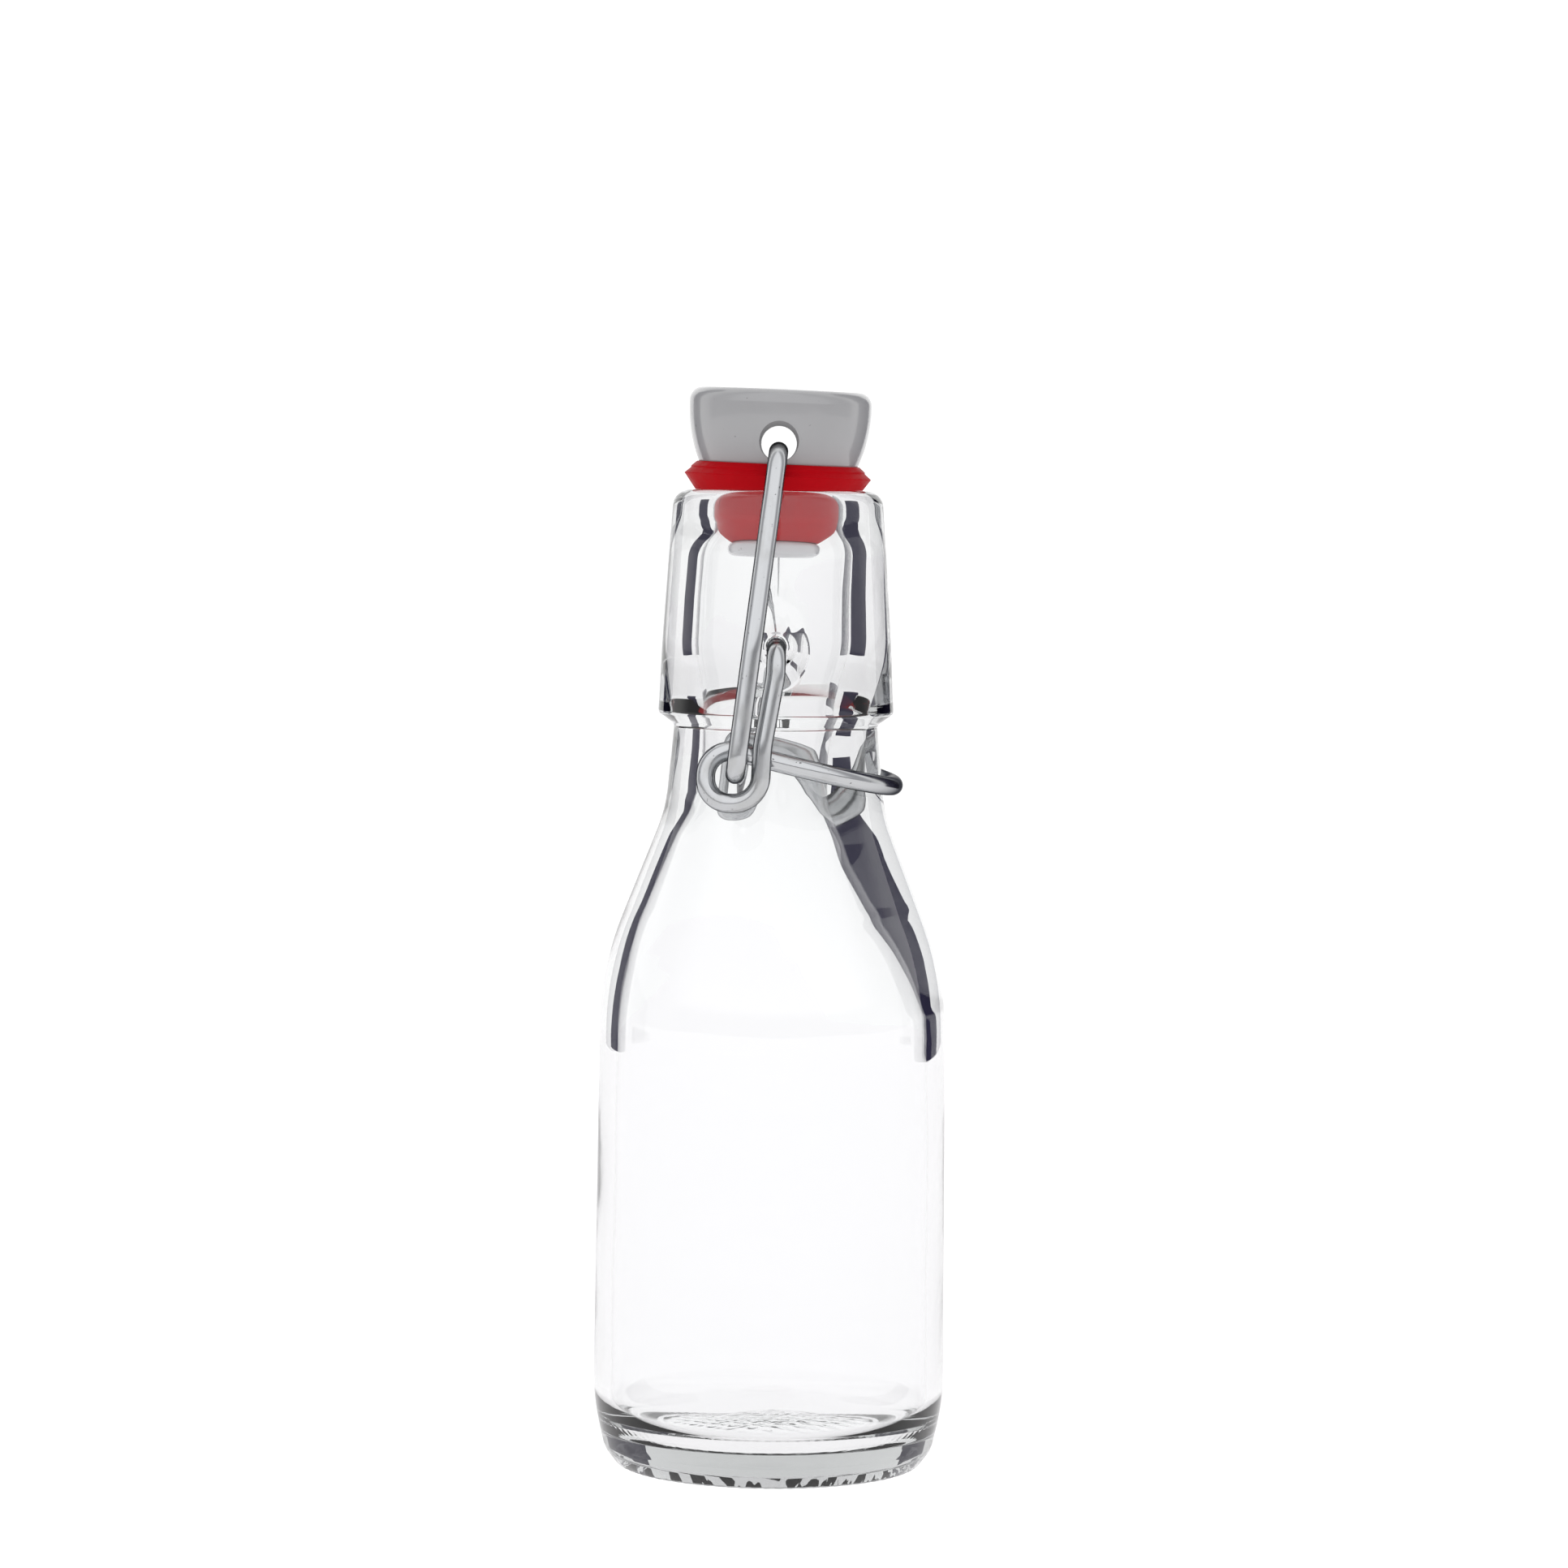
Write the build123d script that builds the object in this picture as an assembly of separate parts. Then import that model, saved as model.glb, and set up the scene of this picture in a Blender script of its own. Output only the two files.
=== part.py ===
"""Small clear-glass swing-top bottle: glass, locking lever, bail wire, ceramic stopper and rubber seal.

Millimetres, +Z up, origin at the centre of the base ring. The wires' pivots lie along Y, and the lever's
bow rests against the neck on the +X side. Every piece is drawn closed, with the lever locked down.
"""
from build123d import *
import os
from math import cos, radians, sin, tan

# Glass, outside: radii about Z, and heights.
BODY_R = 23.1
BODY_TOP_R = 22.63
HEEL_TOP_Z = 8.6
SHOULDER_Z = 65.2
NECK_R = 14.35
NECK_Z = 86.2
NECK_TOP_R = 13.3
NECK_TOP_Z = 97.4
COLLAR_R = 15.42
COLLAR_Z = 98.9
HEAD_R = 15.0
RIM_R = 13.66
RIM_Z = 128.0
HEEL_R = 21.65
HEEL_Z = 2.2
RING_OUTER_R = 20.0
RING_INNER_R = 17.3
PUNT_Z = 2.0

# Bends of the outside line, in the order it meets them on its way up from the bearing ring.
RING_EDGE_BEND = 0.8
HEEL_BEND = 3.5
BODY_BEND = 30
SHOULDER_BEND = 42
NECK_BEND = 21
COLLAR_ROOT_BEND = 0.9
COLLAR_EDGE_BEND = 0.6
HEAD_BEND = 200
RIM_BEND = 2.3
MOUTH_BEND = 0.8

# Glass, inside. The bore is wider in the head than in the mouth or the neck.
BODY_WALL = 2.3
MOUTH_R = 8.5
MOUTH_MIDDLE_Z = 126.0
MOUTH_FOOT_Z = 124.2
BORE_TOP_R = 9.8
BORE_TOP_Z = 120.6
BORE_R = 10.15
BORE_FOOT_Z = 106.5
NECK_BORE_R = 8.55
NECK_BORE_TOP_Z = 98.5
NECK_BORE_FOOT_Z = 89.8
INSIDE_SHOULDER_Z = 65.0
FLOOR_Z = 4.5
FLOOR_RING_R = 14.6
FLOOR_CENTRE_Z = 6.2
MOUTH_FOOT_BEND = 3
BORE_BEND = 10
NECK_BORE_BEND = 20
INSIDE_SHOULDER_BEND = 42
FLOOR_BEND = 5.5

# The lever turns on its two ends, which sit in dimples on the sides of the head.
PIVOT_Z = 107.9
WIRE_R = 1.25
DIMPLE_MOUTH_R = 5.1
DIMPLE_BOWL_R = 2.6
DIMPLE_PIT_R = 1.55
DIMPLE_BOTTOM_Y = 11.6
DIMPLE_SLOPE = 0.7
PIN_END_Y = 12.0
PIN_BEND_Y = 16.45
PIN_BEND = 2.4

# Eye of the lever wire, that the bail's hook passes through, measured from the lever's pivot.
EYE = (-5.62, -16.57)
EYE_R = 3.28
EYE_BEND = 3.2
EYE_ENTRY_BEND = 3.6
ARM_SLOPE = 13.6
ARM_Y = 15.15
BOW_REACH = 15.5
BOW_BEND = 14.8

# The lever's leg runs down from the pin to the eye: X, distance from the middle, and drop below the pivot.
LEG_TOP = (-0.05, 16.85, 3.5)
LEG_LOW = (-1.65, 17.73, 12.6)
LEG_FOOT_X = -1.95
LEG_Y = 17.78
LEG_TOP_BEND = 10
LEG_LOW_BEND = 14

# Bail: hooked in the lever's eyes at its lower ends, and passed through the stopper at the top.
BAIL_FOOT = (-5.09, -16.05)
BAIL_TOP_Z = 133.05
HOOK_END_Y = 14.3

# One side of the bail, as shares of its rise and distances from the middle, and its bends.
BAIL_SIDE = [(0, 20.75), (0.435, 19.45), (0.83, 15.65), (1, 13.1)]
BAIL_BENDS = [2.5, 30, 30, 3.0]

# Stopper and seal, square to their own axis, which leans about the bail's top run.
STOPPER_LEAN = 1.8
CROSS_HOLE_R = 2.3
FLARE_FOOT_R = 1.9
FLARE_R = 3.5
FLARE_DEPTH = 3.2
FLARE_MIDDLE_Y = 11.3
WIRE_PLAY = 0.06
CROSS_HOLE_Z = BAIL_TOP_Z - WIRE_R - WIRE_PLAY + CROSS_HOLE_R
STOPPER_TOP_Z = 141.25
STOPPER_SIDE_Z = 138.85
STOPPER_HEAD_Z = 131.4
STOPPER_R = 11.9
STOPPER_FOOT_R = 10.38
CROWN_DROP = 0.2
CROWN_EDGE = (0.8, 1.4)
CROWN_BEND = 1.6
STEM_R = 4.5
DISC_R = 6.05
DISC_TOP_Z = 121.9
DISC_BOTTOM_Z = 119.2
DISC_BENDS = [1.0, 1.3]
SEAL_TIP_R = 12.2
SEAL_TIP_Z = 129.8
SEAL_TIP_CUT = 0.12
SEAL_STEP_R = 11.35
SEAL_STEP_Z = 130.55
SEAL_STEP_HEIGHT = 0.2
SEAL_SIT_R = 10.6
SEAL_UNDER_Z = 127.6
SEAL_GAP = 0.03
LAND_INNER_R = 8.35
PLUG_R = 8.15
PLUG_CONE_Z = 124.1
PLUG_FOOT_R = 5.75
PLUG_BEND = 1.5


def turned(outline):
    """The solid that a closed outline in (radius, height) sweeps about Z."""
    return revolve(Plane.XZ * make_face(outline), Axis.Z)


def glass_outside():
    """Outer line of the bottle, from the bearing ring up over the rim and down through the mouth."""
    return FilletPolyline(
        (RING_INNER_R, 0),
        (RING_OUTER_R, 0),
        (HEEL_R, HEEL_Z),
        (BODY_R, HEEL_TOP_Z),
        (BODY_TOP_R, SHOULDER_Z),
        (NECK_R, NECK_Z),
        (NECK_TOP_R, NECK_TOP_Z),
        (COLLAR_R, COLLAR_Z),
        (HEAD_R, PIVOT_Z),
        (RIM_R, RIM_Z),
        (MOUTH_R, RIM_Z),
        (MOUTH_R, MOUTH_MIDDLE_Z),
        radius=[
            RING_EDGE_BEND,
            HEEL_BEND,
            BODY_BEND,
            SHOULDER_BEND,
            NECK_BEND,
            COLLAR_ROOT_BEND,
            COLLAR_EDGE_BEND,
            HEAD_BEND,
            RIM_BEND,
            MOUTH_BEND,
        ],
    )


def glass_inside():
    """Inner line of the bottle, from the mouth down to the ring where the floor starts to rise."""
    return FilletPolyline(
        (MOUTH_R, MOUTH_MIDDLE_Z),
        (MOUTH_R, MOUTH_FOOT_Z),
        (BORE_TOP_R, BORE_TOP_Z),
        (BORE_R, BORE_FOOT_Z),
        (NECK_BORE_R, NECK_BORE_TOP_Z),
        (NECK_BORE_R, NECK_BORE_FOOT_Z),
        (BODY_TOP_R - BODY_WALL, INSIDE_SHOULDER_Z),
        (BODY_R - BODY_WALL, FLOOR_Z),
        (FLOOR_RING_R, FLOOR_Z),
        radius=[
            MOUTH_FOOT_BEND,
            BORE_BEND,
            NECK_BORE_BEND,
            NECK_BORE_BEND,
            NECK_BORE_BEND,
            INSIDE_SHOULDER_BEND,
            FLOOR_BEND,
        ],
    )


def dimple(side):
    """Conical pit with a wide bowl, sunk into one side of the head along Y."""
    bowl_y = HEAD_R - (DIMPLE_MOUTH_R - DIMPLE_BOWL_R) * DIMPLE_SLOPE
    outline = Polyline(
        (DIMPLE_BOTTOM_Y, 0),
        (DIMPLE_BOTTOM_Y, DIMPLE_PIT_R),
        (bowl_y, DIMPLE_BOWL_R),
        (HEAD_R, DIMPLE_MOUTH_R),
        (HEAD_R + 2, DIMPLE_MOUTH_R + 2),
        (HEAD_R + 2, 0),
        close=True,
    )
    half = Plane((0, 0, PIVOT_Z), x_dir=(0, side, 0), z_dir=(1, 0, 0)) * make_face(outline)
    return revolve(half, Axis((0, 0, PIVOT_Z), (0, side, 0)))


def bottle():
    """The glass: one turned shell with a pushed-up base and a dimple on each side of the head."""
    punt = TangentArc((0, PUNT_Z), (RING_INNER_R, 0), tangent=(1, 0))
    floor = TangentArc((0, FLOOR_CENTRE_Z), (FLOOR_RING_R, FLOOR_Z), tangent=(1, 0))
    axis_line = Line((0, PUNT_Z), (0, FLOOR_CENTRE_Z))
    outline = punt + glass_outside() + glass_inside() + floor + axis_line
    return turned(outline) - dimple(1) - dimple(-1)


def bent_wire(points, bends):
    """Round wire along straight runs joined by arcs, with its two ends eased."""
    path = FilletPolyline(*points, radius=bends)
    start = Plane(origin=path @ 0, z_dir=path % 0)
    return sweep(start * Circle(WIRE_R), path=path)


def lever_points(side):
    """One side of the lever wire, from its pivot pin through the eye to the corner of the bow."""
    eye_x, eye_z = EYE[0], PIVOT_Z + EYE[1]
    slope = radians(ARM_SLOPE)
    # The arm leaves the top of the eye on a tangent, and its line is followed both ways from there.
    tangent_x = eye_x + EYE_R * sin(slope)
    tangent_z = eye_z + EYE_R * cos(slope)
    left_x = eye_x - EYE_R
    left_z = tangent_z + (tangent_x - left_x) * tan(slope)
    bow_z = tangent_z - (BOW_REACH - tangent_x) * tan(slope)
    route = [
        (0, PIN_END_Y, PIVOT_Z),
        (0, PIN_BEND_Y, PIVOT_Z),
        (LEG_TOP[0], LEG_TOP[1], PIVOT_Z - LEG_TOP[2]),
        (LEG_LOW[0], LEG_LOW[1], PIVOT_Z - LEG_LOW[2]),
        (LEG_FOOT_X, LEG_Y, eye_z - EYE_R),
        (left_x, (LEG_Y + ARM_Y) / 2, eye_z - EYE_R),
        (left_x, ARM_Y, left_z),
        (BOW_REACH, ARM_Y, bow_z),
    ]
    return [(x, side * y, z) for x, y, z in route]


def lever():
    """The locking lever: one wire, both sides and the bow that lies against the neck."""
    near = lever_points(-1)
    far = lever_points(1)
    bends = [PIN_BEND, LEG_TOP_BEND, LEG_LOW_BEND, EYE_ENTRY_BEND, EYE_BEND, EYE_BEND, BOW_BEND]
    return bent_wire(near + far[::-1], bends + bends[::-1])


def bail():
    """The bail: one wire in a leaning plane, from hook to hook through the stopper."""
    foot_x, foot_z = BAIL_FOOT[0], PIVOT_Z + BAIL_FOOT[1]
    rise = BAIL_TOP_Z - foot_z
    route = [(0, HOOK_END_Y)] + BAIL_SIDE
    near = [(foot_x * (1 - t), -y, foot_z + rise * t) for t, y in route]
    far = [(x, -y, z) for x, y, z in near[::-1]]
    return bent_wire(near + far, BAIL_BENDS + BAIL_BENDS[::-1])


def leaning(piece):
    """Turns a piece about the bail's top run, by the angle at which the stopper sits."""
    return piece.rotate(Axis((0, 0, BAIL_TOP_Z), (0, 1, 0)), STOPPER_LEAN)


def cross_hole():
    """The hole that the bail passes through, widened at both mouths."""
    through = Plane((0, 0, CROSS_HOLE_Z), z_dir=(0, 1, 0))
    hole = through * Cylinder(CROSS_HOLE_R, 3 * STOPPER_R)
    for side in (1, -1):
        mouth = Plane((0, side * FLARE_MIDDLE_Y, CROSS_HOLE_Z), z_dir=(0, side, 0))
        hole += mouth * Cone(FLARE_FOOT_R, FLARE_R, FLARE_DEPTH)
    return hole


def stopper():
    """Domed ceramic stopper with a stem, and a disc that keeps the seal on."""
    crown = FilletPolyline(
        (0, STOPPER_TOP_Z),
        (STOPPER_R - CROWN_EDGE[0], STOPPER_TOP_Z - CROWN_DROP),
        (STOPPER_R, STOPPER_TOP_Z - CROWN_EDGE[1]),
        (STOPPER_R, STOPPER_SIDE_Z),
        radius=CROWN_BEND,
    )
    side = TangentArc((STOPPER_R, STOPPER_SIDE_Z), (STOPPER_FOOT_R, STOPPER_HEAD_Z), tangent=(0, -1))
    foot = Line((STOPPER_FOOT_R, STOPPER_HEAD_Z), (STEM_R, STOPPER_HEAD_Z))
    disc = FilletPolyline(
        (STEM_R, DISC_TOP_Z),
        (DISC_R, DISC_TOP_Z),
        (DISC_R, DISC_BOTTOM_Z),
        (0, DISC_BOTTOM_Z),
        radius=DISC_BENDS,
    )
    stem_line = Line((STEM_R, STOPPER_HEAD_Z), (STEM_R, DISC_TOP_Z))
    axis_line = Line((0, DISC_BOTTOM_Z), (0, STOPPER_TOP_Z))
    return leaning(turned(crown + side + foot + stem_line + disc + axis_line) - cross_hole())


def seal():
    """Rubber ring on the stem: a flange under the head, and a plug that closes the mouth."""
    flange = Polyline(
        (STEM_R, DISC_TOP_Z),
        (STEM_R, STOPPER_HEAD_Z),
        (SEAL_SIT_R, STOPPER_HEAD_Z),
        (SEAL_STEP_R, SEAL_STEP_Z + SEAL_STEP_HEIGHT),
        (SEAL_STEP_R, SEAL_STEP_Z),
        (SEAL_TIP_R - SEAL_TIP_CUT, SEAL_TIP_Z + SEAL_TIP_CUT),
        (SEAL_TIP_R, SEAL_TIP_Z),
        (SEAL_TIP_R - SEAL_TIP_CUT, SEAL_TIP_Z - SEAL_TIP_CUT),
        (SEAL_SIT_R, SEAL_UNDER_Z),
        (PLUG_R, SEAL_UNDER_Z),
    )
    plug = FilletPolyline(
        (PLUG_R, SEAL_UNDER_Z),
        (PLUG_R, PLUG_CONE_Z),
        (PLUG_FOOT_R, DISC_TOP_Z),
        radius=PLUG_BEND,
    )
    foot = Line((PLUG_FOOT_R, DISC_TOP_Z), (STEM_R, DISC_TOP_Z))
    ring = leaning(turned(flange + plug + foot))
    # The flange is flattened where it is pressed on the rim, outside the mouth.
    land = Plane((0, 0, RIM_Z + SEAL_GAP)) * (Circle(2 * STOPPER_R) - Circle(LAND_INNER_R))
    return ring - extrude(land, SEAL_UNDER_Z - SEAL_TIP_Z)


PIECES = {
    "bottle": bottle,
    "lever": lever,
    "bail": bail,
    "stopper": stopper,
    "seal": seal,
}

os.makedirs("parts", exist_ok=True)
for name, build in PIECES.items():
    export_step(build(), f"parts/{name}.step")
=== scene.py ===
"""Looks for a small clear-glass swing-top bottle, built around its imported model.

Sizes are in millimetres until a mesh is made, and angles are in degrees. +Z is up, the camera looks along +Y.
"""
from math import ceil, cos, pi, radians, sin, tan

import bpy
import numpy as np
from mathutils import Matrix


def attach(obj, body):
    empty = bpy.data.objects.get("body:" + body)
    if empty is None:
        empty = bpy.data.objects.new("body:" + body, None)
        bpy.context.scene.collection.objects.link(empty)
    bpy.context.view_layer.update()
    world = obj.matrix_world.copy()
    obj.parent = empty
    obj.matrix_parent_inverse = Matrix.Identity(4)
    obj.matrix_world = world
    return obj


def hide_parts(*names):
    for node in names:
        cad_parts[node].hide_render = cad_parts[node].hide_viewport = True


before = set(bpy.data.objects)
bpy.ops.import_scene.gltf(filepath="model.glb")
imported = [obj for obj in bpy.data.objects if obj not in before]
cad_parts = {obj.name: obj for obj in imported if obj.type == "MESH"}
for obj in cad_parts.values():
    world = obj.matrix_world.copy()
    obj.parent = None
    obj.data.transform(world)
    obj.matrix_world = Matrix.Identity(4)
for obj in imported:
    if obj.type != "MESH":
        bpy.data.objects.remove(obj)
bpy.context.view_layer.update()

MM = 0.001

# Camera.
LENS = 124.8
CAMERA_PLACE = (0.00117, -0.711, 0.1337)
CAMERA_PITCH = 3.553
CAMERA_ROLL = 0.65

# Glass, outside: radii about Z, and heights.
BODY_R = 23.08
BODY_TOP_R = 22.63
HEEL_R = 21.65
HEEL_Z = 2.2
HEEL_TOP_Z = 8.6
SHOULDER_Z = 65.2
NECK_R = 14.35
NECK_Z = 86.2
NECK_TOP_R = 13.3
NECK_TOP_Z = 97.4
COLLAR_R = 15.42
COLLAR_Z = 98.9
HEAD_R = 15.0
RIM_R = 13.66
RIM_Z = 128.0
RING_OUTER_R = 20.0
RING_INNER_R = 17.3
PUNT_Z = 2.0
OUTSIDE_BENDS = [0.8, 3.5, 30, 42, 21, 0.9, 0.6, 200, 2.3, 0.8]

# Glass, inside.
BODY_WALL = 2.3
MOUTH_R = 8.5
MOUTH_MIDDLE_Z = 126.0
MOUTH_FOOT_Z = 124.2
BORE_TOP_R = 9.8
BORE_TOP_Z = 120.6
BORE_R = 10.15
BORE_FOOT_Z = 106.5
NECK_BORE_R = 8.55
NECK_BORE_TOP_Z = 98.5
NECK_BORE_FOOT_Z = 89.8
INSIDE_SHOULDER_Z = 65.0
FLOOR_Z = 4.5
FLOOR_RING_R = 14.6
FLOOR_CENTRE_Z = 6.2
INSIDE_BENDS = [3, 10, 20, 20, 20, 42, 5.5]

# Dimples in the head, one on each side, that the lever's ends sit in.
PIVOT_Z = 107.9
DIMPLE_MOUTH_R = 5.1
DIMPLE_BOWL_R = 2.6
DIMPLE_PIT_R = 1.55
DIMPLE_BOTTOM_Y = 11.6
DIMPLE_SLOPE = 0.7
DIMPLE_CREASE = 0.25

# Fine relief of the glass.
KNURLS = 80
KNURL_DEPTH = 0.03
SEAM_HEIGHT = 0.05
BASE_LINE_Z = 2.3
FINISH_LINE_Z = 125.5
FLOOR_RIPPLE = 0.07
RIPPLE = 0.05

# Waves of the wall's unevenness: how many round the glass, radians per mm of height, and phase.
WAVES = [(2, 0.11, 0.3), (3, -0.17, 1.9), (5, 0.23, 4.0), (1, 0.31, 2.6), (7, -0.12, 5.1)]

# How strongly the glass absorbs light, per metre.
GLASS_GREYING = 16.0

# The cavity lies a little to -X of the glass above the shoulder.
CAVITY_STEP_Z = [66, 80, 88, 97, 104, 114, 124]
CAVITY_STEP = [0, 0.6, 0.9, 0.65, 0.45, 0.4, 0]

# The shoulder's wall is thickest on one side: depth by height, and its direction and spread in degrees.
THICK_Z = [60, 66, 72, 80, 88, 96]
THICK = [0, 0.9, 1.5, 1.3, 0.5, 0]
THICK_ANGLE = -25
THICK_SPREAD = 45

# Wires.
WIRE_R = 1.25
WIRE_END = 0.35
PIN_END_Y = 12.0
PIN_BEND_Y = 16.45
EYE = (-5.62, -16.57)
EYE_R = 3.28
EYE_BEND_R = 3.2
LEG_ENTRY_R = 3.6
ARM_SLOPE = 13.6
ARM_Y = 15.15
LEG_Y = 17.78
# Points on the near leg: X, distance out along Y, and height from the pivots.
LEG_TOP = (-0.05, 16.85, -3.5)
LEG_LOW = (-1.65, 17.73, -12.6)
LEG_FOOT_X = -1.95
BOW_REACH = 15.5
BOW_BEND_R = 14.8
LEVER_BENDS = [2.4, 10, 14, LEG_ENTRY_R, EYE_BEND_R, EYE_BEND_R, BOW_BEND_R]
BAIL_FOOT = (-5.09, -16.05)
BAIL_TOP_Z = 133.05
HOOK_END_Y = 14.3
BAIL_FOOT_Y = 20.75
BAIL_TOP_Y = 13.1
# Where the bail's side bends: share of its rise, and distance out along Y.
BAIL_SIDE = [(0.435, 19.45), (0.83, 15.65)]
BAIL_BENDS = [2.5, 30, 30, 3.0]

# Stopper and seal: heights along their own axis, which leans about the bail's top run.
STOPPER_LEAN = 1.8
STOPPER_HEAD_Z = 131.4
STEM_R = 4.5
DISC_TOP_Z = 121.9
SEAL_TIP_R = 12.2
SEAL_TIP_Z = 129.8
SEAL_TIP_CUT = 0.12
SEAL_STEP_R = 11.35
SEAL_STEP_Z = 130.55
SEAL_STEP_HEIGHT = 0.2
SEAL_SIT_R = 10.6
SEAL_UNDER_Z = 127.6
SEAL_GAP = 0.03
LAND_INNER_R = 8.35
PLUG_R = 8.15
PLUG_CONE_Z = 124.1
PLUG_FOOT_R = 5.75
SEAL_BENDS = [0.05, 0.15, 0.05, 0.04, 0.05, 0.05, 0.05, 0.3, 0.3, 1.5, 0.1]

# Dark cards behind the bottle: side, first and last direction off the backdrop's middle, and top.
FLAG_DISTANCE = 300
FLAG_LOW = 25
FLAGS = {"flag_left": (-1, 38, 59, 500), "flag_right": (1, 31.5, 65, 500)}

# Studio: the white that is seen directly, and the floor's half side and drop below the glass.
WHITE = (1.12, 1.12, 1.12, 1)
FLOOR_HALF = 1500
FLOOR_DROP = 0.1

# How finely meshes are divided.
RING_POINTS = 360
OUTSIDE_STEP = 2.0
DIMPLE_STEP = 0.22
INSIDE_STEP = 1.3
PUNT_RINGS = 10
FLOOR_RINGS = 22
SEAL_STEP = 0.4
WIRE_POINTS = 32
WIRE_STEP = 0.35
WIRE_LONGEST = 1.5


# ---------------------------------------------------------------- shapes

def rounded(corners, radii, arc_step):
    """Points along straight runs joined by tangent arcs, through corners in two or three dimensions."""
    corners = [np.array(c, float) for c in corners]
    points = [corners[0]]
    for before, corner, after, radius in zip(corners, corners[1:], corners[2:], radii):
        back = (before - corner) / np.linalg.norm(before - corner)
        ahead = (after - corner) / np.linalg.norm(after - corner)
        half = np.arccos(np.clip(back @ ahead, -1, 1)) / 2
        bisector = (back + ahead) / np.linalg.norm(back + ahead)
        centre = corner + bisector * radius / sin(half)
        start = corner + back * radius / tan(half)
        turn = pi - 2 * half
        steps = max(2, ceil(radius * turn / arc_step))
        for angle in np.linspace(0, turn, steps + 1):
            points.append(centre + cos(angle) * (start - centre) - sin(angle) * radius * back)
    points.append(corners[-1])
    return points


def divided(points, longest):
    """The same line with points added, so that no step is longer than longest(point)."""
    out = [points[0]]
    for a, b in zip(points, points[1:]):
        pieces = max(1, ceil(np.linalg.norm(b - a) / longest((a + b) / 2)))
        out += [a + (b - a) * k / pieces for k in range(1, pieces + 1)]
    return out


def new_mesh(name, points, faces):
    """A smooth-shaded mesh object from points in millimetres."""
    mesh = bpy.data.meshes.new(name)
    mesh.from_pydata((np.asarray(points) * MM).tolist(), [], faces)
    mesh.shade_smooth()
    mesh.update()
    piece = bpy.data.objects.new(name, mesh)
    bpy.context.scene.collection.objects.link(piece)
    return piece


# ---------------------------------------------------------------- bottle

def glass_outside():
    """The outline of the glass from its bearing ring up into the mouth."""
    corners = [
        (RING_INNER_R, 0),
        (RING_OUTER_R, 0),
        (HEEL_R, HEEL_Z),
        (BODY_R, HEEL_TOP_Z),
        (BODY_TOP_R, SHOULDER_Z),
        (NECK_R, NECK_Z),
        (NECK_TOP_R, NECK_TOP_Z),
        (COLLAR_R, COLLAR_Z),
        (HEAD_R, PIVOT_Z),
        (RIM_R, RIM_Z),
        (MOUTH_R, RIM_Z),
        (MOUTH_R, MOUTH_MIDDLE_Z),
    ]
    return rounded(corners, OUTSIDE_BENDS, 0.3)


def glass_inside():
    """The outline of the cavity from the mouth down to its floor."""
    corners = [
        (MOUTH_R, MOUTH_MIDDLE_Z),
        (MOUTH_R, MOUTH_FOOT_Z),
        (BORE_TOP_R, BORE_TOP_Z),
        (BORE_R, BORE_FOOT_Z),
        (NECK_BORE_R, NECK_BORE_TOP_Z),
        (NECK_BORE_R, NECK_BORE_FOOT_Z),
        (BODY_TOP_R - BODY_WALL, INSIDE_SHOULDER_Z),
        (BODY_R - BODY_WALL, FLOOR_Z),
        (FLOOR_RING_R, FLOOR_Z),
    ]
    return rounded(corners, INSIDE_BENDS, 0.6)


def shallow_bowl(edge_r, edge_z, centre_z, count):
    """Points from near the axis out to an edge, on a shallow curve that is level at the axis."""
    radii = np.linspace(edge_r / count, edge_r, count)
    return [np.array((r, centre_z + (edge_z - centre_z) * (r / edge_r) ** 2)) for r in radii]


def outside_step(point):
    """The longest step between rings near a point, short where the dimples are."""
    in_head = abs(point[1] - PIVOT_Z) < DIMPLE_MOUTH_R + 0.5 and point[0] > MOUTH_R + 2
    return DIMPLE_STEP if in_head else OUTSIDE_STEP


def smooth_least(a, b, blend):
    """The smaller of two arrays, with the crease between them eased over blend."""
    h = np.clip(0.5 + 0.5 * (b - a) / blend, 0, 1)
    return b + (a - b) * h - blend * h * (1 - h)


def sink_dimples(x, y, z):
    """Pushes the head's surface in along Y where the two dimples are."""
    reach = np.hypot(x, z - PIVOT_Z)
    bowl_y = HEAD_R - (DIMPLE_MOUTH_R - DIMPLE_BOWL_R) * DIMPLE_SLOPE
    depth_at = [0, DIMPLE_PIT_R, DIMPLE_BOWL_R, DIMPLE_MOUTH_R, DIMPLE_MOUTH_R + 3]
    wall_y = [DIMPLE_BOTTOM_Y, DIMPLE_BOTTOM_Y, bowl_y, HEAD_R, HEAD_R + 3]
    limit = np.interp(reach, depth_at, wall_y)
    far = np.abs(y)
    sunk = smooth_least(far, limit, DIMPLE_CREASE)
    return np.sign(y) * np.where(reach < DIMPLE_MOUTH_R + 2, sunk, far)


def ripple(angle, z):
    """Slow unevenness of a blown wall, between about -1 and 1."""
    return sum(np.cos(n * angle + k * z + phase) for n, k, phase in WAVES) / len(WAVES)


def bump_at(value, centre, half_width):
    """1 at a centre, falling smoothly to 0 at half_width from it."""
    return np.clip(1 - np.abs(value - centre) / half_width, 0, 1) ** 2


def angular_distance(angle, degrees):
    """Degrees between angles, in radians, and one direction."""
    return np.degrees(np.arccos(np.cos(angle - radians(degrees))))


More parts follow.
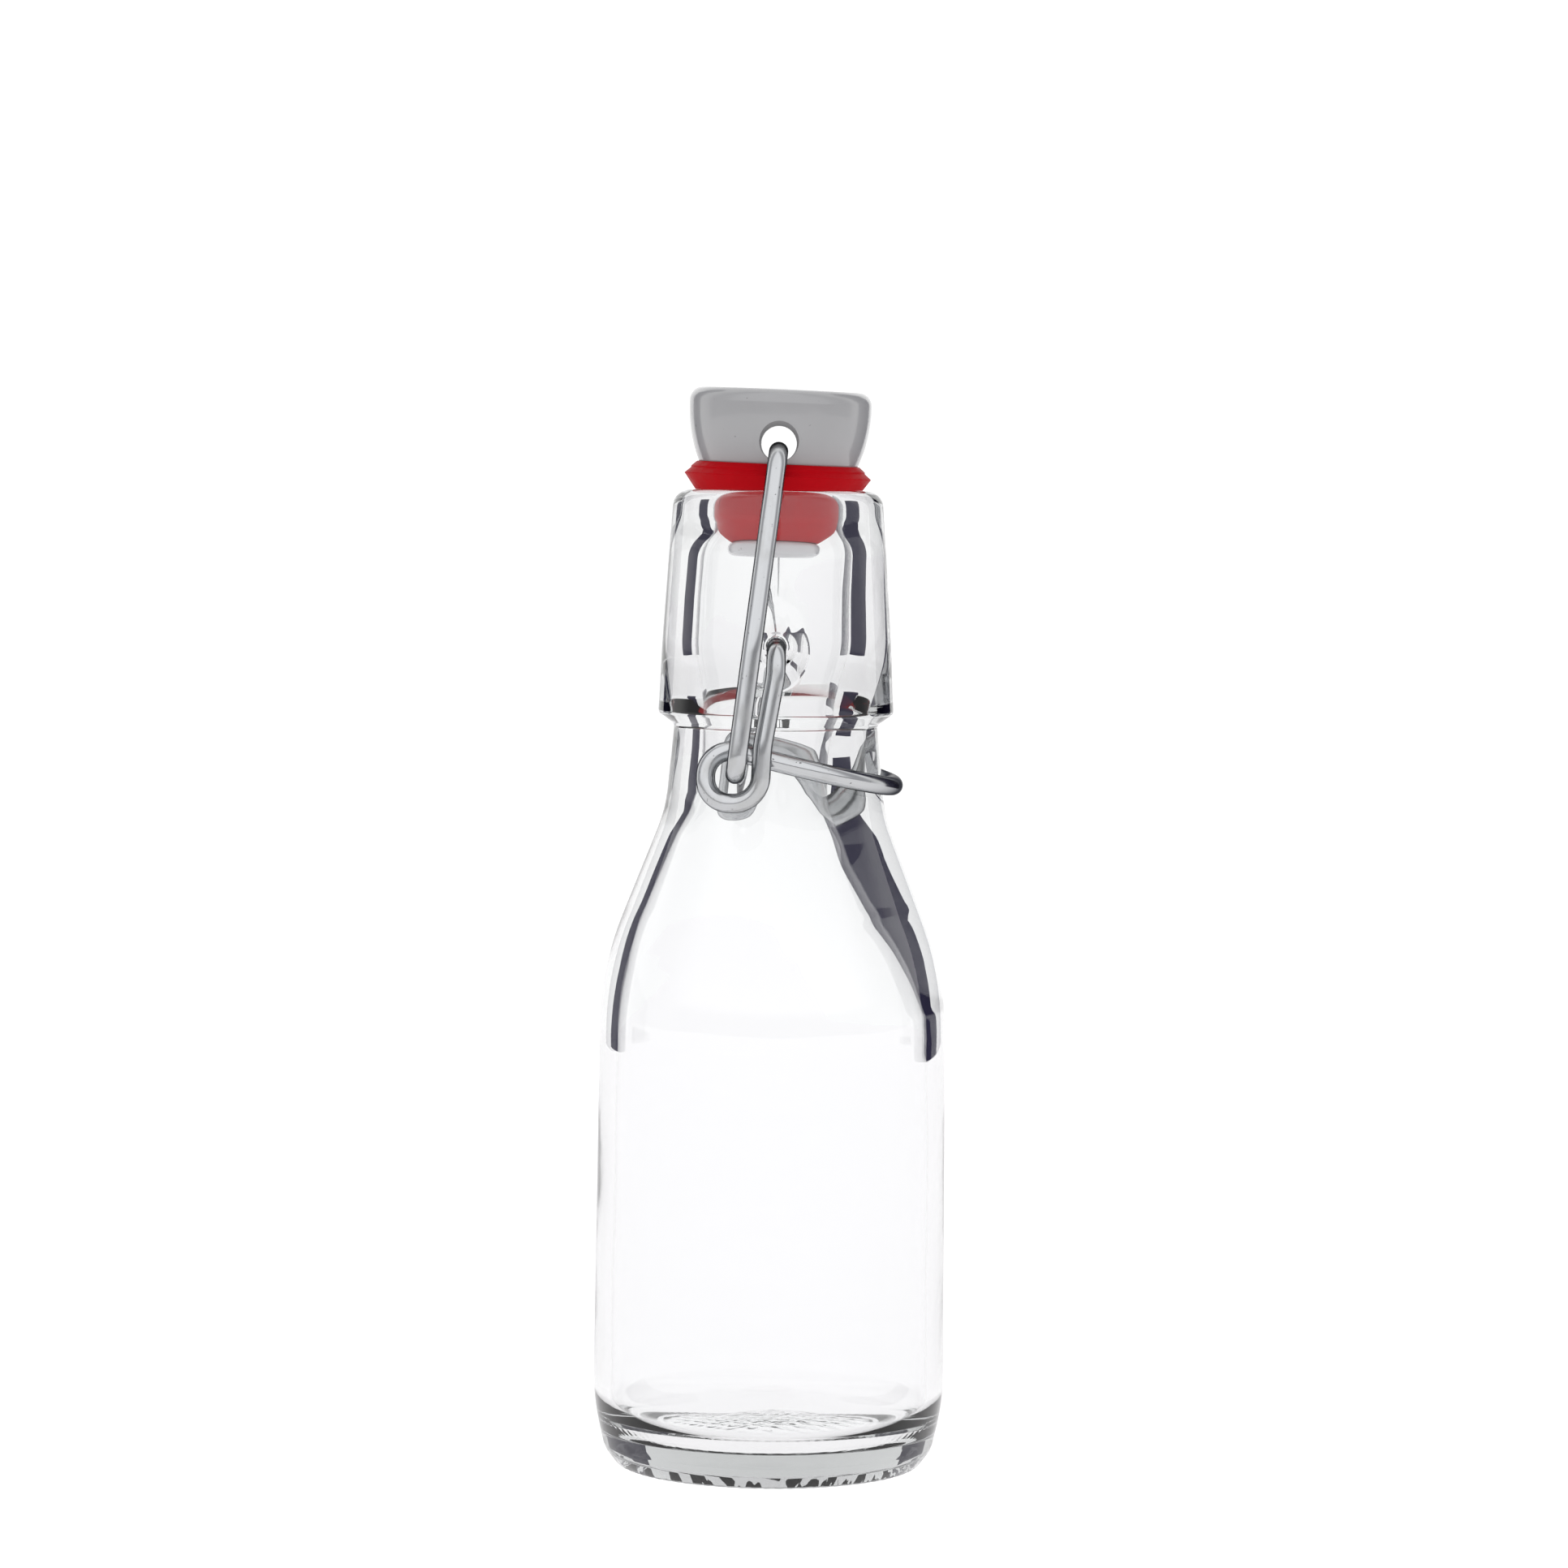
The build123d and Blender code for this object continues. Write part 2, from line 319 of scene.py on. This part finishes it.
def outside_relief(radius, angle, z):
    """Mould lines and knurls, as changes of radius and height."""
    base_line = bump_at(z, BASE_LINE_Z, 0.35)
    finish_line = bump_at(z, FINISH_LINE_Z, 0.25)
    seam = bump_at(np.abs(np.sin(angle)), 1, 0.0002) * (z > COLLAR_Z)
    on_ring = np.clip(1 - z / 0.5, 0, 1) * (radius > RING_INNER_R - 0.1)
    grooves = 0.5 - 0.5 * np.cos(KNURLS * angle)
    lift = KNURL_DEPTH * grooves * on_ring
    return SEAM_HEIGHT * (finish_line - base_line + 0.6 * seam), lift


def inside_relief(radius, angle, z):
    """Unevenness of the cavity's wall and floor, as changes of radius and height."""
    side_step = np.interp(z, CAVITY_STEP_Z, CAVITY_STEP)
    nearness = np.exp(-(angular_distance(angle, THICK_ANGLE) / THICK_SPREAD) ** 2)
    thick = np.interp(z, THICK_Z, THICK) * nearness
    in_wall = np.clip((z - FLOOR_CENTRE_Z - 2) / 4, 0, 1) * np.clip((MOUTH_FOOT_Z - z) / 4, 0, 1)
    swell = RIPPLE * in_wall * ripple(angle, z) - side_step * np.cos(angle) - thick
    x, y = radius * np.cos(angle), radius * np.sin(angle)
    broad = np.sin(1.9 * x + 0.7 * y) * np.sin(1.3 * y - 0.4 * x + 1)
    fine = np.sin(2.9 * x - 1.1 * y + 2) * np.sin(2.3 * y)
    mottle = broad + 0.6 * fine
    on_floor = (z < FLOOR_CENTRE_Z + 0.3) * np.clip((FLOOR_RING_R - radius) / 3, 0, 1)
    return swell, FLOOR_RIPPLE * mottle * on_floor


def ring_angles(count):
    """Angles about Z, set closer together towards both dimples."""
    even = np.arange(count) * 2 * pi / count
    return even + 0.25 * np.sin(2 * even)


def bottle_mesh():
    """The whole glass as one closed surface of rings, from the base's centre to the floor's centre."""
    base = shallow_bowl(RING_INNER_R, 0, PUNT_Z, PUNT_RINGS)
    outside = divided(glass_outside(), outside_step)
    inside = divided(glass_inside(), lambda point: INSIDE_STEP)
    cavity_floor = shallow_bowl(FLOOR_RING_R, FLOOR_Z, FLOOR_CENTRE_Z, FLOOR_RINGS)[::-1]
    outline = base + outside[1:] + inside[1:] + cavity_floor[1:]
    first_inside = len(base) + len(outside) - 1
    # The rings that carry the knurls have twice the points.
    fine = [k for k, (r, z) in enumerate(outline[:first_inside]) if r > RING_INNER_R - 3 and z < 1.2]
    points, rings = [(0, 0, PUNT_Z)], []
    for k, (radius, height) in enumerate(outline):
        count = RING_POINTS * (2 if k in fine else 1)
        angle = ring_angles(count)
        z = np.full(count, height)
        relief = inside_relief if k >= first_inside else outside_relief
        grow, lift = relief(radius, angle, z)
        x, y, z = (radius + grow) * np.cos(angle), (radius + grow) * np.sin(angle), z + lift
        if k < first_inside and height > COLLAR_Z:
            y = sink_dimples(x, y, z)
        rings.append(range(len(points), len(points) + count))
        points += list(zip(x, y, z))
    points.append((0, 0, FLOOR_CENTRE_Z))
    faces = []
    first, last = rings[0], rings[-1]
    for j in range(len(first)):
        faces.append((0, first[(j + 1) % len(first)], first[j]))
    for a, b in zip(rings, rings[1:]):
        faces += strip(a, b)
    for j in range(len(last)):
        faces.append((len(points) - 1, last[j], last[(j + 1) % len(last)]))
    return new_mesh("glass_bottle", points, faces)


def strip(a, b):
    """Faces between two rings, which have the same number of points or one has twice the other's."""
    n, m = len(a), len(b)
    if n == m:
        return [(a[j], a[(j + 1) % n], b[(j + 1) % n], b[j]) for j in range(n)]
    if n < m:
        return [tuple(reversed(face)) for face in strip(b, a)]
    faces = []
    for j in range(m):
        odd, even, after = a[2 * j + 1], a[2 * j], a[(2 * j + 2) % n]
        faces += [(even, odd, b[j]), (odd, after, b[(j + 1) % m]), (odd, b[(j + 1) % m], b[j])]
    return faces


# ---------------------------------------------------------------- seal

def seal_mesh():
    """The rubber ring on the stopper's stem, leaning with it and pressed flat where it meets the rim."""
    flange = [
        (STEM_R, DISC_TOP_Z),
        (STEM_R, STOPPER_HEAD_Z),
        (SEAL_SIT_R, STOPPER_HEAD_Z),
        (SEAL_STEP_R, SEAL_STEP_Z + SEAL_STEP_HEIGHT),
        (SEAL_STEP_R, SEAL_STEP_Z),
        (SEAL_TIP_R - SEAL_TIP_CUT, SEAL_TIP_Z + SEAL_TIP_CUT),
        (SEAL_TIP_R, SEAL_TIP_Z),
        (SEAL_TIP_R - SEAL_TIP_CUT, SEAL_TIP_Z - SEAL_TIP_CUT),
        (SEAL_SIT_R, SEAL_UNDER_Z),
        (PLUG_R, SEAL_UNDER_Z),
        (PLUG_R, PLUG_CONE_Z),
        (PLUG_FOOT_R, DISC_TOP_Z),
        (STEM_R, DISC_TOP_Z),
    ]
    outline = divided(rounded(flange, SEAL_BENDS, 0.1), lambda point: SEAL_STEP)[:-1]
    lean = radians(STOPPER_LEAN)
    points = []
    for radius, height in outline:
        angle = np.arange(RING_POINTS) * 2 * pi / RING_POINTS
        x, y, up = radius * np.cos(angle), radius * np.sin(angle), height - BAIL_TOP_Z
        leaned_x = x * cos(lean) + up * sin(lean)
        z = BAIL_TOP_Z + up * cos(lean) - x * sin(lean)
        on_rim = np.hypot(leaned_x, y) > LAND_INNER_R
        z = np.where(on_rim, np.maximum(z, RIM_Z + SEAL_GAP), z)
        points += list(zip(leaned_x, y, z))
    count = len(outline)
    rings = [range(k * RING_POINTS, (k + 1) * RING_POINTS) for k in range(count)]
    faces = []
    for k in range(count):
        faces += strip(rings[k], rings[(k + 1) % count])
    piece = new_mesh("rubber_seal", points, faces)
    piece.data.set_sharp_from_angle(angle=radians(50))
    return piece


# ---------------------------------------------------------------- wires

def wire_mesh(name, corners, radii):
    """Round wire along a path, with eased ends. Each point keeps where it is along and round the wire."""
    path = np.array(divided(rounded(corners, radii, WIRE_STEP), lambda point: WIRE_LONGEST))
    steps = np.linalg.norm(np.diff(path, axis=0), axis=1)
    path = path[np.append(True, steps > 1e-6)]
    along = np.append(0, np.cumsum(np.linalg.norm(np.diff(path, axis=0), axis=1)))
    tangents = np.gradient(path, along, axis=0)
    tangents /= np.linalg.norm(tangents, axis=1)[:, None]
    # Each end narrows over its last stretch, as a quarter round.
    ends = [(WIRE_END * (1 - sin(t)), WIRE_END * (1 - cos(t))) for t in np.linspace(pi / 2, 0, 5)]
    places = [(path[0] + tangents[0] * s, tangents[0], s, WIRE_R - n) for s, n in ends]
    places += [(p, t, s, WIRE_R) for p, t, s in zip(path[1:-1], tangents[1:-1], along[1:-1])]
    places += [(path[-1] - tangents[-1] * s, tangents[-1], along[-1] - s, WIRE_R - n) for s, n in ends]
    places.sort(key=lambda place: place[2])
    side = np.cross(places[0][1], (0.3, 0.2, 1))
    points, coords = [], []
    for centre, tangent, s, radius in places:
        side = side - tangent * (side @ tangent)
        side /= np.linalg.norm(side)
        up = np.cross(tangent, side)
        for a in np.arange(WIRE_POINTS) * 2 * pi / WIRE_POINTS:
            points.append(centre + radius * (cos(a) * side + sin(a) * up))
            coords.append((s, WIRE_R * cos(a), WIRE_R * sin(a)))
    n, rings = WIRE_POINTS, len(places)
    faces = [
        (k * n + j, k * n + (j + 1) % n, (k + 1) * n + (j + 1) % n, (k + 1) * n + j)
        for k in range(rings - 1)
        for j in range(n)
    ]
    faces.append(tuple(range(n))[::-1])
    faces.append(tuple(range((rings - 1) * n, rings * n)))
    piece = new_mesh(name, points, faces)
    attribute = piece.data.attributes.new("wire_place", "FLOAT_VECTOR", "POINT")
    attribute.data.foreach_set("vector", (np.array(coords) * MM).ravel())
    return piece


def lever_mesh():
    """The locking lever: pivot pins, legs, eyes and the bow round the neck."""
    eye_x, eye_z = EYE[0], PIVOT_Z + EYE[1]
    slope = radians(ARM_SLOPE)
    tangent_x = eye_x + EYE_R * sin(slope)
    tangent_z = eye_z + EYE_R * cos(slope)
    left_x = eye_x - EYE_R
    near = [
        (0, -PIN_END_Y, PIVOT_Z),
        (0, -PIN_BEND_Y, PIVOT_Z),
        (LEG_TOP[0], -LEG_TOP[1], PIVOT_Z + LEG_TOP[2]),
        (LEG_LOW[0], -LEG_LOW[1], PIVOT_Z + LEG_LOW[2]),
        (LEG_FOOT_X, -LEG_Y, eye_z - EYE_R),
        (left_x, -(LEG_Y + ARM_Y) / 2, eye_z - EYE_R),
        (left_x, -ARM_Y, tangent_z + (tangent_x - left_x) * tan(slope)),
        (BOW_REACH, -ARM_Y, tangent_z - (BOW_REACH - tangent_x) * tan(slope)),
    ]
    far = [(x, -y, z) for x, y, z in near[::-1]]
    return wire_mesh("lever_wire", near + far, LEVER_BENDS + LEVER_BENDS[::-1])


def bail_mesh():
    """The bail, in its leaning plane, from hook to hook through the stopper."""
    foot_x, foot_z = BAIL_FOOT[0], PIVOT_Z + BAIL_FOOT[1]
    rise = BAIL_TOP_Z - foot_z
    heights_and_widths = [(0, HOOK_END_Y), (0, BAIL_FOOT_Y), *BAIL_SIDE, (1, BAIL_TOP_Y)]
    near = [(foot_x * (1 - t), -y, foot_z + rise * t) for t, y in heights_and_widths]
    far = [(x, -y, z) for x, y, z in near[::-1]]
    return wire_mesh("bail_wire", near + far, BAIL_BENDS + BAIL_BENDS[::-1])


# ---------------------------------------------------------------- materials

class Nodes:
    """A node tree with short ways to add and join nodes."""

    def __init__(self, owner):
        owner.use_nodes = True
        self.tree = owner.node_tree
        self.tree.nodes.clear()

    def add(self, kind, inputs=(), **settings):
        node = self.tree.nodes.new(kind)
        for name, value in settings.items():
            setattr(node, name, value)
        for name, value in dict(inputs).items():
            if isinstance(value, bpy.types.NodeSocket):
                self.tree.links.new(value, node.inputs[name])
            else:
                node.inputs[name].default_value = value
        return node

    def math(self, operation, a, b=0.0):
        return self.add("ShaderNodeMath", {0: a, 1: b}, operation=operation).outputs[0]

    def noise(self, vector, scale, detail=2.0, roughness=0.5):
        sockets = {"Vector": vector, "Scale": scale, "Detail": detail, "Roughness": roughness}
        return self.add("ShaderNodeTexNoise", sockets).outputs["Fac"]

    def ease(self, value, low, high, to_low=0.0, to_high=1.0):
        sockets = {"Value": value, "From Min": low, "From Max": high, "To Min": to_low, "To Max": to_high}
        return self.add("ShaderNodeMapRange", sockets, interpolation_type="SMOOTHSTEP").outputs[0]

    def mix(self, factor, a, b):
        node = self.add("ShaderNodeMix", data_type="RGBA")
        for socket, value in (("Factor_Float", factor), ("A_Color", a), ("B_Color", b)):
            target = next(s for s in node.inputs if s.identifier == socket)
            if isinstance(value, bpy.types.NodeSocket):
                self.tree.links.new(value, target)
            else:
                target.default_value = value
        return next(s for s in node.outputs if s.identifier == "Result_Color")

    def stretched(self, vector, scale):
        return self.add("ShaderNodeMapping", {"Vector": vector, "Scale": scale}).outputs[0]

    def bump(self, height, strength, distance):
        sockets = {"Height": height, "Strength": strength, "Distance": distance}
        return self.add("ShaderNodeBump", sockets).outputs[0]

    def surface(self, **sockets):
        inputs = {name.replace("_", " "): value for name, value in sockets.items()}
        shader = self.add("ShaderNodeBsdfPrincipled", inputs)
        return self.add("ShaderNodeOutputMaterial", {"Surface": shader.outputs[0]})


def glass_material():
    """Clear soda-lime glass, with faint ripples and the odd fine scuff."""
    material = bpy.data.materials.new("clear_glass")
    nodes = Nodes(material)
    place = nodes.add("ShaderNodeTexCoord").outputs["Object"]
    wash = nodes.noise(place, 90.0, 2.0)
    scuffs = nodes.ease(nodes.noise(nodes.stretched(place, (1, 1, 0.35)), 2600.0, 3.0), 0.7, 0.8)
    height = nodes.math("ADD", nodes.math("MULTIPLY", wash, 1.0), nodes.math("MULTIPLY", scuffs, 0.02))
    tint = nodes.mix(nodes.noise(place, 30.0), (0.985, 0.99, 0.99, 1), (0.995, 0.995, 1.0, 1))
    output = nodes.surface(
        Base_Color=tint,
        Roughness=0.0,
        IOR=1.5,
        Transmission_Weight=1.0,
        Normal=nodes.bump(height, 0.12, 0.0002),
    )
    # Long paths through the glass, as along its edges, come out slightly grey.
    grey = nodes.add("ShaderNodeVolumeAbsorption", {"Color": (0.0, 0.03, 0.03, 1), "Density": GLASS_GREYING})
    nodes.tree.links.new(grey.outputs[0], output.inputs["Volume"])
    return material


def wire_material():
    """Drawn steel wire: fine lines along it, small pits, and slight discolouring."""
    material = bpy.data.materials.new("drawn_steel_wire")
    nodes = Nodes(material)
    place = nodes.add("ShaderNodeAttribute", attribute_name="wire_place").outputs["Vector"]
    lines = nodes.noise(nodes.stretched(place, (40, 2400, 2400)), 1.0, 4.0, 0.6)
    blotches = nodes.noise(nodes.stretched(place, (250, 500, 500)), 1.0, 3.0)
    pits = nodes.ease(nodes.noise(place, 2600.0, 1.0), 0.72, 0.78)
    steel = nodes.mix(lines, (0.50, 0.51, 0.52, 1), (0.60, 0.61, 0.62, 1))
    aged = nodes.mix(nodes.ease(blotches, 0.5, 0.72, 0.0, 0.3), steel, (0.40, 0.40, 0.38, 1))
    colour = nodes.mix(nodes.math("MULTIPLY", pits, 0.8), aged, (0.05, 0.045, 0.04, 1))
    rough = nodes.ease(blotches, 0.3, 0.8, 0.14, 0.24)
    height = nodes.math("SUBTRACT", nodes.math("MULTIPLY", lines, 0.5), pits)
    nodes.surface(
        Base_Color=colour,
        Metallic=1.0,
        Specular_Tint=(0.05, 0.05, 0.06, 1),
        Roughness=rough,
        Normal=nodes.bump(height, 0.15, 0.00002),
    )
    return material


def ceramic_material():
    """Glazed grey-white ceramic, with specks in the glaze and painted light that makes the foot paler."""
    material = bpy.data.materials.new("glazed_ceramic")
    nodes = Nodes(material)
    place = nodes.add("ShaderNodeTexCoord").outputs["Object"]
    body = nodes.mix(nodes.noise(place, 160.0, 3.0), (0.325, 0.325, 0.33, 1), (0.365, 0.365, 0.37, 1))
    specks = nodes.ease(nodes.noise(place, 1500.0, 1.0), 0.76, 0.8)
    # Painted light: below the seal the stopper and its disc are painted paler, standing in for light that
    # reaches the disc through the glass.
    height = nodes.add("ShaderNodeSeparateXYZ", {0: place}).outputs[2]
    painted_light_mask = nodes.ease(height, DISC_TOP_Z * MM, SEAL_STEP_Z * MM, 1.0, 0.0)
    painted_lit_foot = nodes.mix(painted_light_mask, body, (0.58, 0.58, 0.59, 1))
    colour = nodes.mix(nodes.math("MULTIPLY", specks, 0.5), painted_lit_foot, (0.12, 0.11, 0.11, 1))
    nodes.surface(
        Base_Color=colour,
        Roughness=nodes.ease(nodes.noise(place, 300.0), 0.3, 0.7, 0.14, 0.24),
        Coat_Weight=0.5,
        Normal=nodes.bump(nodes.noise(place, 420.0, 2.0), 0.08, 0.0002),
    )
    return material


def rubber_material():
    """Red moulded rubber, with fine radial flow marks."""
    material = bpy.data.materials.new("red_rubber")
    nodes = Nodes(material)
    place = nodes.add("ShaderNodeTexCoord").outputs["Object"]
    marks = nodes.noise(nodes.stretched(place, (700, 700, 90)), 1.0, 3.0, 0.6)
    colour = nodes.mix(marks, (0.36, 0.0, 0.003, 1), (0.46, 0.001, 0.006, 1))
    nodes.surface(
        Base_Color=colour,
        Roughness=nodes.ease(marks, 0.3, 0.7, 0.38, 0.55),
        Specular_IOR_Level=0.04,
        Normal=nodes.bump(marks, 0.3, 0.0001),
    )
    return material


def paint(piece, material):
    piece.data.materials.clear()
    piece.data.materials.append(material)


# ---------------------------------------------------------------- studio

def studio_world():
    """White wherever it is seen directly or through glass. Surfaces reflect dimmer sides and a dim front."""
    world = bpy.data.worlds.new("studio")
    bpy.context.scene.world = world
    nodes = Nodes(world)
    direction = nodes.add("ShaderNodeTexCoord").outputs["Generated"]
    parts = nodes.add("ShaderNodeSeparateXYZ", {0: direction}).outputs
    off_back = nodes.math("ABSOLUTE", nodes.math("ARCTAN2", parts[0], parts[1]))
    elevation = nodes.math("ARCSINE", parts[2])

    def rising(value, low, high):
        return nodes.ease(value, radians(low), radians(high))

    in_front = rising(off_back, 100, 125)
    beside = nodes.mix(rising(off_back, 70, 88), WHITE, (0.5, 0.5, 0.52, 1))
    before = nodes.mix(rising(elevation, 4, 8), (0.33, 0.33, 0.34, 1), (1.25, 1.25, 1.27, 1))
    seen = nodes.mix(in_front, beside, before)
    ray = nodes.add("ShaderNodeLightPath").outputs
    direct = nodes.math("MAXIMUM", ray["Is Camera Ray"], ray["Is Transmission Ray"])
    colour = nodes.mix(direct, seen, WHITE)
    shader = nodes.add("ShaderNodeBackground", {"Color": colour, "Strength": 1.0})
    nodes.add("ShaderNodeOutputWorld", {"Surface": shader.outputs[0]})


def flags():
    """Dark cards beside the backdrop, which the thick glass picks up as dark strips."""
    material = bpy.data.materials.new("dark_card")
    nodes = Nodes(material)
    cloth = nodes.noise(nodes.add("ShaderNodeTexCoord").outputs["Object"], 60.0)
    navy = nodes.mix(cloth, (0.012, 0.01, 0.035, 1), (0.018, 0.015, 0.045, 1))
    nodes.surface(Base_Color=(0, 0, 0, 1), Roughness=1.0, Emission_Color=navy, Emission_Strength=1.0)
    for name, (side, first, last, top) in FLAGS.items():
        turns = [side * radians(angle) for angle in (first, last)]
        near, far = [np.array((sin(turn), cos(turn), 0)) * FLAG_DISTANCE for turn in turns]
        low, high = np.array((0, 0, FLAG_LOW)), np.array((0, 0, top))
        corners = [near + low, far + low, far + high, near + high]
        card = new_mesh(name, corners, [(0, 1, 2, 3)])
        paint(card, material)
        card.visible_camera = False
        card.visible_diffuse = False
        card.visible_shadow = False


def floor():
    """A plain white floor, mostly lit by itself so that only a faint shadow shows."""
    signs = [(-1, -1), (1, -1), (1, 1), (-1, 1)]
    corners = [(x * FLOOR_HALF, y * FLOOR_HALF, -FLOOR_DROP) for x, y in signs]
    piece = new_mesh("floor", corners, [(0, 1, 2, 3)])
    material = bpy.data.materials.new("pale_floor")
    nodes = Nodes(material)
    place = nodes.add("ShaderNodeTexCoord").outputs["Object"]
    pale = nodes.mix(nodes.noise(place, 40.0), (0.5, 0.5, 0.5, 1), (0.52, 0.52, 0.52, 1))
    in_view = nodes.add("ShaderNodeLightPath").outputs["Is Camera Ray"]
    glow = nodes.mix(in_view, (0.53, 0.52, 0.525, 1), (0.65, 0.65, 0.65, 1))
    nodes.surface(Base_Color=pale, Roughness=1.0, Emission_Color=glow, Emission_Strength=1.0)
    paint(piece, material)


def camera():
    lens = bpy.data.cameras.new("camera")
    lens.lens = LENS
    lens.clip_start = 0.01
    eye = bpy.data.objects.new("camera", lens)
    bpy.context.scene.collection.objects.link(eye)
    pitch = Matrix.Rotation(radians(90 - CAMERA_PITCH), 4, "X")
    tilt = pitch @ Matrix.Rotation(radians(CAMERA_ROLL), 4, "Z")
    eye.matrix_world = Matrix.Translation(CAMERA_PLACE) @ tilt
    bpy.context.scene.camera = eye


# ---------------------------------------------------------------- the object

def dress():
    glass = bottle_mesh()
    glass.visible_shadow = False
    glass.visible_diffuse = False
    steel = wire_material()
    seal = seal_mesh()
    for piece, body, node, slot, material in (
        (glass, "bottle", "bottle", "clear_glass", glass_material()),
        (lever_mesh(), "lever", "lever", "spring_wire", steel),
        (bail_mesh(), "bail", "bail", "spring_wire", steel),
        (seal, "stopper", "seal", "red_rubber", rubber_material()),
    ):
        paint(piece, material)
        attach(piece, body)
        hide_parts(node)
    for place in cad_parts["stopper"].material_slots:
        place.material = ceramic_material()


bpy.context.scene.view_settings.view_transform = "Standard"
studio_world()
flags()
floor()
camera()
dress()
